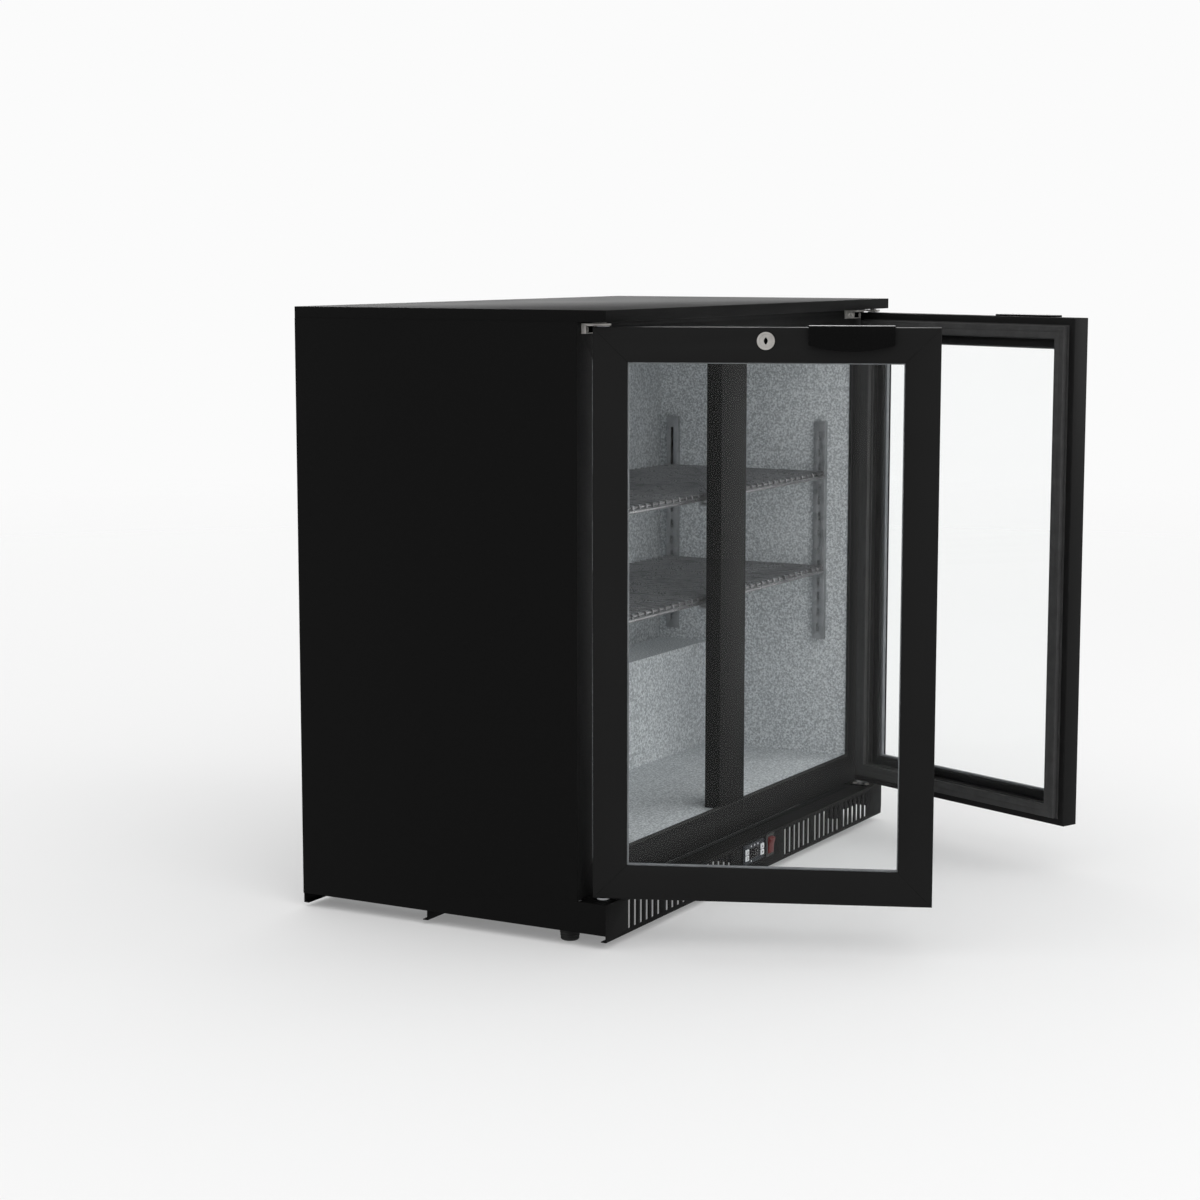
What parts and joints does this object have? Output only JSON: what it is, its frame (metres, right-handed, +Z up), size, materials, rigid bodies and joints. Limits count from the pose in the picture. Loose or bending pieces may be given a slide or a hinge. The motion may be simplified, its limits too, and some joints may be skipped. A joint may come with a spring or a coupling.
{
  "type": "under counter bottle cooler",
  "caption": "Under-counter glass-door bottle cooler: black steel cabinet, hinged lockable glazed doors, wire shelves, slotted plinth with controls, rear machine compartment.",
  "frame": {"origin": "on the floor under the centre of the cabinet's 900 by 475 mm footprint", "axes": "+X to the right seen from the front, +Y to the back, +Z up"},
  "size_m": [0.9, 0.8555, 0.82],
  "materials": {
    "black_steel": "satin",
    "frame_steel": "satin",
    "black_plastic": "satin",
    "gloss_black_plastic": "gloss",
    "gasket_rubber": "matte",
    "foot_rubber": "matte",
    "glass": "gloss",
    "bare_aluminium": "satin",
    "stucco_aluminium": "satin",
    "nickel_plate": "satin",
    "galvanised_steel": "satin",
    "chromed_wire": "polished",
    "foam_core": "matte",
    "copper": "satin",
    "grey_plastic": "satin",
    "smoked_lens": "gloss",
    "red_plastic": "gloss",
    "clear_plastic": "satin"
  },
  "bodies": {
    "cabinet": {"top_panel": "black_steel", "left_side_panel": "black_steel", "right_side_panel": "black_steel", "back_panel": "black_steel", "base_skin": "galvanised_steel", "inner_liner": "stucco_aluminium", "insulation_foam": "foam_core", "face_frame": "frame_steel", "centre_mullion": "frame_steel", "front_grille": "black_steel", "base_rails": "black_steel", "machine_tray": "galvanised_steel", "rear_vent_cover": "black_steel", "mains_inlet": "black_plastic", "feet": "foot_rubber", "pilasters": "galvanised_steel", "shelf_clips": "galvanised_steel", "lower_shelves": "chromed_wire", "upper_shelves": "chromed_wire", "duct_panel": "stucco_aluminium", "evaporator_fan_motor": "black_plastic", "evaporator_coil": "bare_aluminium", "drain_parts": "clear_plastic", "condenser_coil": "bare_aluminium", "condenser_fan_motor": "black_steel", "compressor": "black_steel", "compressor_mounts": "foot_rubber", "refrigerant_pipes": "copper", "filter_drier": "copper", "controller_case": "black_plastic", "display_lens": "smoked_lens", "rocker_housing": "black_plastic", "hinge_brackets": "nickel_plate", "hinge_pins": "nickel_plate", "screws": "galvanised_steel"},
    "left_door": {"left_door_frame": "black_plastic", "left_glass_panes": "glass", "left_glass_spacer": "bare_aluminium", "left_glazing_bead": "black_plastic", "left_door_gasket": "gasket_rubber", "left_hinge_bushes": "grey_plastic", "left_door_handle": "gloss_black_plastic", "left_lock_housing": "nickel_plate"},
    "left_lock": {"left_lock_cylinder": "nickel_plate"},
    "right_door": {"right_door_frame": "black_plastic", "right_glass_panes": "glass", "right_glass_spacer": "bare_aluminium", "right_glazing_bead": "black_plastic", "right_door_gasket": "gasket_rubber", "right_hinge_bushes": "grey_plastic", "right_door_handle": "gloss_black_plastic", "right_lock_housing": "nickel_plate"},
    "right_lock": {"right_lock_cylinder": "nickel_plate"},
    "rocker": {"rocker_switch": "red_plastic"},
    "evaporator_fan": {"evaporator_fan_blade": "black_plastic"},
    "condenser_fan": {"condenser_fan_blade": "black_plastic"},
    "set_button": {"set_button": "grey_plastic"},
    "power_button": {"power_button": "grey_plastic"},
    "up_button": {"up_button": "grey_plastic"},
    "down_button": {"down_button": "grey_plastic"}
  },
  "joints": [
    {"name": "left_door_hinge", "type": "hinge", "parent": "cabinet", "child": "left_door", "pos_m": [-0.428, -0.2215, 0.43], "axis": [0, 0, 1], "range_deg": [-37.5, 67.5]},
    {"name": "left_lock_turn", "type": "hinge", "parent": "left_door", "child": "left_lock", "pos_m": [-0.36156, -0.41587, 0.7824], "axis": [-0.9239, -0.3827, 0], "range_deg": [0, 90]},
    {"name": "right_door_hinge", "type": "hinge", "parent": "cabinet", "child": "right_door", "pos_m": [0.428, -0.2215, 0.43], "axis": [0, 0, -1], "range_deg": [-37.5, 67.5]},
    {"name": "right_lock_turn", "type": "hinge", "parent": "right_door", "child": "right_lock", "pos_m": [0.36156, -0.41587, 0.7824], "axis": [-0.9239, 0.3827, 0], "range_deg": [0, 90]},
    {"name": "rocker_tip", "type": "hinge", "parent": "cabinet", "child": "rocker", "pos_m": [0.037, -0.2375, 0.042], "axis": [1, 0, 0], "range_deg": [-16, 0]},
    {"name": "evaporator_fan_spin", "type": "hinge", "parent": "cabinet", "child": "evaporator_fan", "pos_m": [0, 0.1505, 0.695], "axis": [0, 1, 0], "continuous": true},
    {"name": "condenser_fan_spin", "type": "hinge", "parent": "cabinet", "child": "condenser_fan", "pos_m": [-0.156, 0.1595, 0.1024], "axis": [1, 0, 0], "continuous": true},
    {"name": "set_button_press", "type": "slide", "parent": "cabinet", "child": "set_button", "axis": [0, 1, 0], "range_m": [0, 0.001], "stiffness_N_per_m": 400},
    {"name": "power_button_press", "type": "slide", "parent": "cabinet", "child": "power_button", "axis": [0, 1, 0], "range_m": [0, 0.001], "stiffness_N_per_m": 400},
    {"name": "up_button_press", "type": "slide", "parent": "cabinet", "child": "up_button", "axis": [0, 1, 0], "range_m": [0, 0.001], "stiffness_N_per_m": 400},
    {"name": "down_button_press", "type": "slide", "parent": "cabinet", "child": "down_button", "axis": [0, 1, 0], "range_m": [0, 0.001], "stiffness_N_per_m": 400}
  ]
}
